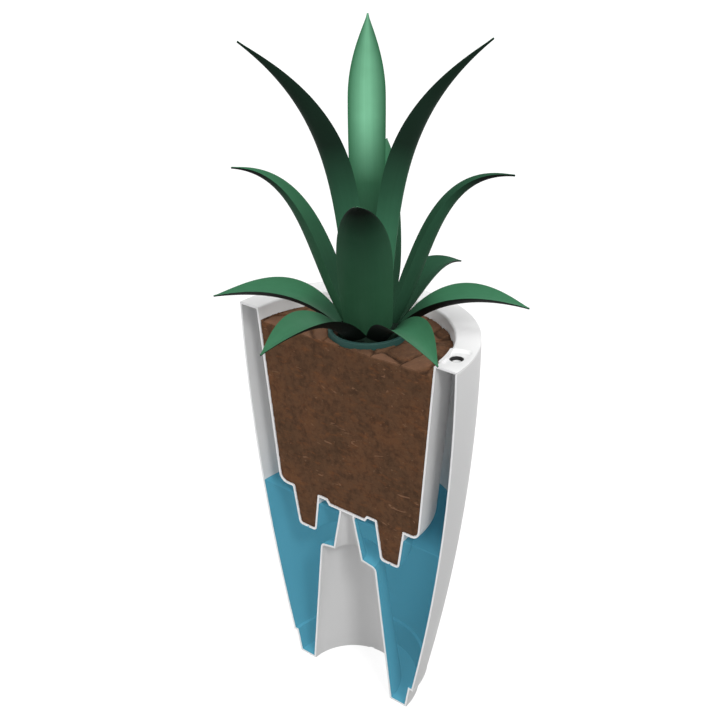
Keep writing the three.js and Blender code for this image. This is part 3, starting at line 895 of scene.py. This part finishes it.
def make_soil(material):
    pot_side = below_level(offset_path(POT_PATH, WALL / 2 + SEAT_GAP), SOIL_LEVEL)
    soil = half_turned("soil_block", pot_side + [point(0, SOIL_LEVEL)])
    outline = circle(COLLAR_RADIUS + SEAT_GAP, COLLAR_MIDDLE.x, COLLAR_MIDDLE.y)
    carve(soil, [prism("pocket", outline, COLLAR_LOW.z - SEAT_GAP, PLANTER_HEIGHT)], "DIFFERENCE")
    remesh = soil.modifiers.new("even grain", "REMESH")
    remesh.mode = "VOXEL"
    remesh.voxel_size = SOIL_VOXEL
    apply_modifiers(soil)
    tints = soil.data.attributes.new("clump", "FLOAT", "POINT").data
    facing = [vertex.normal.copy() for vertex in soil.data.vertices]
    for vertex, normal, tint in zip(soil.data.vertices, facing, tints):
        x, y, z = vertex.co
        tint.value = EVEN_TINT
        if z > SOIL_LEVEL - SOIL_VOXEL and normal.z > FACING:
            rise, tint.value = soil_clump(x, y)
            vertex.co.z += rise
        # Painted shade: the soil inside the collar gets the lowest tint
        elif (Vector((x, y)) - COLLAR_MIDDLE.xy).length < COLLAR_RADIUS and normal.z > FACING:
            tint.value = 0
        elif y < AXIS_Y + SOIL_VOXEL and normal.y < -FACING:
            vertex.co.y += CUT_ROUGHNESS * (1 + grain_at(vertex.co))
    soil.data.polygons.foreach_set("use_smooth", [True] * len(soil.data.polygons))
    finish_piece(soil, "pot", "soil", material, "soil")


def make_collar(material):
    inner = COLLAR_RADIUS - COLLAR_WALL
    ring = fillet_path([
        (inner, COLLAR_LOW.z),
        (COLLAR_RADIUS, COLLAR_LOW.z),
        (COLLAR_RADIUS, COLLAR_HIGH.z, COLLAR_ROUNDING),
        (inner, COLLAR_HIGH.z, COLLAR_ROUNDING),
        (inner, COLLAR_LOW.z),
    ])
    collar = turned("collar_ring", ring[:-1], COLLAR_MIDDLE)
    finish_piece(collar, "pot", "collar_plastic", material, "collar")


def make_crown(material):
    radius = (CROWN_HIGH.x - CROWN_LOW.x) / 2
    rise = CROWN_HIGH.z - SOIL_LEVEL
    dome = [point(0, CROWN_LOW.z), point(radius, CROWN_LOW.z)]
    for step in range(FILLET_STEPS):
        angle = math.pi / 2 * step / FILLET_STEPS
        dome.append(point(radius * math.cos(angle), SOIL_LEVEL + rise * math.sin(angle)))
    dome.append(point(0, SOIL_LEVEL + rise))
    crown = turned("crown_heart", dome, COLLAR_MIDDLE)
    finish_piece(crown, "pot", "crown", material, "crown")


def leaf_half_width(shape, along):
    widest, root_share = shape["widest"], shape["root_share"]
    swelling = math.sin(math.pi / 2 * min(along / widest, 1))
    narrowing = math.cos(math.pi / 2 * max((along - widest) / (1 - widest), 0))
    share = root_share + (1 - root_share) * swelling
    return math.hypot(shape["half_width"] * share * narrowing, LEAF_TIP_WIDTH / 2)


def leaf_cup(shape, along):
    flat_from = shape.get("flat_from", 1)
    if along <= flat_from:
        return shape["cup"]
    return shape["cup"] * (1 - along) / (1 - flat_from)


def leaf_spine(shape):
    """Points and directions along a leaf's bent spine, in (radius, height) from the crown's axis."""
    def slope(degrees):
        return point(math.cos(math.radians(degrees)), math.sin(math.radians(degrees)))

    root = point(shape["root"], SOIL_LEVEL + shape["root_height"])
    tip = point(shape["reach"] - LEAF_TIP_INSET, SOIL_LEVEL + shape["rise"] - LEAF_TIP_INSET)
    handle = LEAF_HANDLE * (tip - root).length
    out = root + slope(shape["root_angle"]) * handle
    back = tip - slope(shape["tip_angle"]) * handle
    for step in range(LEAF_STEPS + 1):
        t = step / LEAF_STEPS
        s = 1 - t
        here = root * s**3 + out * (3 * s * s * t) + back * (3 * s * t * t) + tip * t**3
        along = (out - root) * (s * s) + (back - out) * (2 * s * t) + (tip - back) * (t * t)
        yield t, here, along.normalized()


def make_leaf(name, azimuth, shape, material):
    """A leaf as a closed tube of lens-shaped sections along its spine, bent into a cup."""
    bm = bmesh.new()
    uv_layer = bm.loops.layers.uv.new("Leaf")
    turn = Matrix.Rotation(math.radians(azimuth), 3, "Z")
    middle = Vector((COLLAR_MIDDLE.x, COLLAR_MIDDLE.y, 0))
    rings = []
    for along, here, tangent in leaf_spine(shape):
        half_width = leaf_half_width(shape, along)
        cup = leaf_cup(shape, along)
        thickness = LEAF_THICKNESS + (LEAF_TIP_THICKNESS - LEAF_THICKNESS) * along
        ring = []
        for side_step in range(LEAF_SIDES):
            angle = 2 * math.pi * side_step / LEAF_SIDES
            side = half_width * math.cos(angle)
            lift = cup * side**2 / half_width + thickness / 2 * math.sin(angle)
            place = Vector((here.x - tangent.y * lift, side, here.y + tangent.x * lift))
            ring.append(bm.verts.new(turn @ place + middle))
        rings.append(ring)
    for step, (here, there) in enumerate(zip(rings, rings[1:])):
        for i in range(LEAF_SIDES):
            j = (i + 1) % LEAF_SIDES
            face = bm.faces.new([here[i], here[j], there[j], there[i]])
            places = [(i, step), (i + 1, step), (i + 1, step + 1), (i, step + 1)]
            for loop, (around, up) in zip(face.loops, places):
                loop[uv_layer].uv = (around / LEAF_SIDES, up / LEAF_STEPS)
    bm.faces.new(rings[0])
    bm.faces.new(rings[-1])
    leaf = new_object(name + "_blade", bm)
    leaf.visible_shadow = name in SHADING_LEAVES
    finish_piece(leaf, "pot", "leaf", material, name)


# Stage, light and camera

CAMERA_PLACE = Vector((0.941, AXIS_Y - 1.107, 1.329))
CAMERA_AIM = Vector((0.0205, AXIS_Y + 0.0168, 0.597))
CAMERA_ROLL = math.radians(-1.39)
CAMERA_LENS = 56.34
LAMPS = dict(
    key=dict(azimuth=-30, elevation=45, strength=0.9, spread=10),
    front=dict(azimuth=-100, elevation=20, strength=0.4, spread=10),
    fill=dict(azimuth=-51, elevation=33, strength=0.7, spread=10, shadow=False),
    glow=dict(azimuth=-10, elevation=30, strength=0.12, spread=10, shadow=False),
    left=dict(azimuth=-135, elevation=20, strength=0.6, spread=25),
    side=dict(azimuth=-20, elevation=20, strength=0.6, spread=25),
    back=dict(azimuth=100, elevation=30, strength=0.8, spread=20),
)
RIM_LAMP_PLACE = Vector((0.5, 0.15, 1.05))
RIM_LAMP_POWER = 0.8
RIM_LAMP_SIZE = 0.2
SKY_LOW = 0.15
SKY_HIGH = 0.85
FLOOR_GLOW = 0.8
FLOOR_PAINT = (0.25, 0.25, 0.25, 1)
FLOOR_BOUNCE = (0.03, 0.03, 0.03, 1)
FLOOR_SIZE = 60


def make_camera():
    data = bpy.data.cameras.new("camera")
    data.lens = CAMERA_LENS
    camera = bpy.data.objects.new("camera", data)
    camera.location = CAMERA_PLACE
    camera.rotation_mode = "QUATERNION"
    facing = (CAMERA_AIM - CAMERA_PLACE).to_track_quat("-Z", "Y")
    camera.rotation_quaternion = facing @ Quaternion((0, 0, 1), CAMERA_ROLL)
    bpy.context.scene.collection.objects.link(camera)
    bpy.context.scene.camera = camera


def seen_directly(tree):
    """1 for what the camera sees straight, in a mirror or through glass, else 0."""
    path = tree.nodes.new("ShaderNodeLightPath")
    total = path.outputs["Is Camera Ray"]
    for name in ("Is Glossy Ray", "Is Transmission Ray"):
        node = tree.nodes.new("ShaderNodeMath")
        node.operation = "MAXIMUM"
        tree.links.new(total, node.inputs[0])
        tree.links.new(path.outputs[name], node.inputs[1])
        total = node.outputs["Value"]
    return total


def make_world():
    """White where it is seen, and a soft sky that is brightest overhead for the light."""
    world = bpy.data.worlds.new("studio")
    bpy.context.scene.world = world
    world.use_nodes = True
    tree = world.node_tree
    background = tree.nodes["Background"]
    background.inputs["Color"].default_value = (1, 1, 1, 1)
    direction = tree.nodes.new("ShaderNodeTexCoord")
    split = tree.nodes.new("ShaderNodeSeparateXYZ")
    sky = tree.nodes.new("ShaderNodeMapRange")
    sky.inputs["To Min"].default_value = SKY_LOW
    sky.inputs["To Max"].default_value = SKY_HIGH
    seen = tree.nodes.new("ShaderNodeMix")
    seen.inputs["B"].default_value = 1
    tree.links.new(direction.outputs["Generated"], split.inputs["Vector"])
    tree.links.new(split.outputs["Z"], sky.inputs["Value"])
    tree.links.new(sky.outputs["Result"], seen.inputs["A"])
    tree.links.new(seen_directly(tree), seen.inputs["Factor"])
    tree.links.new(seen.outputs["Result"], background.inputs["Strength"])


def make_floor():
    """A floor that looks white apart from its shadow, and throws little light back up."""
    bm = bmesh.new()
    half = FLOOR_SIZE / 2
    corners = ((-half, -half), (half, -half), (half, half), (-half, half))
    bm.faces.new([bm.verts.new((x, y, 0)) for x, y in corners])
    floor = new_object("floor", bm)
    material = bpy.data.materials.new("floor")
    material.use_nodes = True
    tree = material.node_tree
    tree.nodes.remove(tree.nodes["Principled BSDF"])
    bounce = tree.nodes.new("ShaderNodeBsdfDiffuse")
    bounce.inputs["Color"].default_value = FLOOR_BOUNCE
    paint = tree.nodes.new("ShaderNodeBsdfDiffuse")
    paint.inputs["Color"].default_value = FLOOR_PAINT
    glow = tree.nodes.new("ShaderNodeEmission")
    glow.inputs["Strength"].default_value = FLOOR_GLOW
    shown = tree.nodes.new("ShaderNodeAddShader")
    mix = tree.nodes.new("ShaderNodeMixShader")
    tree.links.new(paint.outputs["BSDF"], shown.inputs[0])
    tree.links.new(glow.outputs["Emission"], shown.inputs[1])
    tree.links.new(seen_directly(tree), mix.inputs["Fac"])
    tree.links.new(bounce.outputs["BSDF"], mix.inputs[1])
    tree.links.new(shown.outputs["Shader"], mix.inputs[2])
    tree.links.new(mix.outputs["Shader"], tree.nodes["Material Output"].inputs["Surface"])
    floor.data.materials.append(material)


def make_lamp(name, azimuth, elevation, strength, spread, shadow=True):
    """A far lamp in a direction seen from the planter, with a soft edge."""
    data = bpy.data.lights.new(name, "SUN")
    data.energy = strength
    data.angle = math.radians(spread)
    data.use_shadow = shadow
    lamp = bpy.data.objects.new(name, data)
    turn, lift = math.radians(azimuth), math.radians(elevation)
    source = Vector((math.cos(turn) * math.cos(lift), math.sin(turn) * math.cos(lift), math.sin(lift)))
    lamp.rotation_mode = "QUATERNION"
    lamp.rotation_quaternion = (-source).to_track_quat("-Z", "Y")
    bpy.context.scene.collection.objects.link(lamp)


def make_rim_lamp():
    """A small near lamp that brightens the rim around the fill port."""
    data = bpy.data.lights.new("rim", "AREA")
    data.energy = RIM_LAMP_POWER
    data.size = RIM_LAMP_SIZE
    lamp = bpy.data.objects.new("rim", data)
    lamp.location = RIM_LAMP_PLACE
    lamp.rotation_mode = "QUATERNION"
    lamp.rotation_quaternion = (PLUG_MIDDLE - RIM_LAMP_PLACE).to_track_quat("-Z", "Y")
    bpy.context.scene.collection.objects.link(lamp)


bpy.context.scene.view_settings.view_transform = "Standard"
make_camera()
make_world()
make_floor()
for lamp_name, lamp_values in LAMPS.items():
    make_lamp(lamp_name, **lamp_values)
make_rim_lamp()

make_shell(plastic("shell plastic", SHELL_WHITE, CUT_PAINTED_LIGHT, roughness=0.42))
make_base(plastic("base plastic", BASE_WHITE, CUT_PAINTED_LIGHT, roughness=0.45))
pot_plastic = plastic("pot plastic", POT_WHITE, CUT_PAINTED_LIGHT, roughness=0.4)
make_pot(pot_plastic)
make_plug(pot_plastic)
make_grommet(rubber())
make_water(
    water_material("water", WATER_BLUE, CLEAR_WATER),
    water_material("deep water", WATER_BLUE),
    water_material("water on a floor, painted lighter", WATER_FLOOR_PAINTED_LIGHT),
)
make_soil(soil_material())
make_collar(plastic("collar plastic", COLLAR_TEAL, COLLAR_TEAL, roughness=0.5, specular=0.15))
make_crown(crown_material())
leaf_greens = {
    "low": leaf_material(
        "low leaf", LEAF_GREEN, LEAF_PAINTED_HIGHLIGHT, root_shade_end=0.4, unders=(LEAF_PAINTED_SHADE, LEAF_PAINTED_SHADE, LEAF_PAINTED_SHADE),
    ),
    "middle": leaf_material(
        "middle leaf", LEAF_GREEN, LEAF_PAINTED_HIGHLIGHT, root_shade_end=0.8, unders=(MIDDLE_ROOT, LEAF_UNDER, LEAF_PAINTED_SHADE),
    ),
    # Painted shade: a darker copy of the leaf green, with no highlight
    "shaded": leaf_material(
        "shaded leaf", SHADED_GREEN, SHADED_GREEN, root_shade_end=0.8, unders=(LEAF_ROOT_SHADE, SHADED_GREEN, LEAF_PAINTED_SHADE),
    ),
    "highlit": leaf_material(
        "highlit leaf", LEAF_GREEN, UPPER_PAINTED_HIGHLIGHT, root_shade_end=0.64, unders=(UPPER_UNDER_ROOT, UPPER_UNDER_SHADE, UPPER_UNDER_SHADE),
    ),
}
for leaf_name, (leaf_azimuth, leaf_shape, leaf_green) in LEAVES.items():
    make_leaf(leaf_name, leaf_azimuth, leaf_shape, leaf_greens[leaf_green])
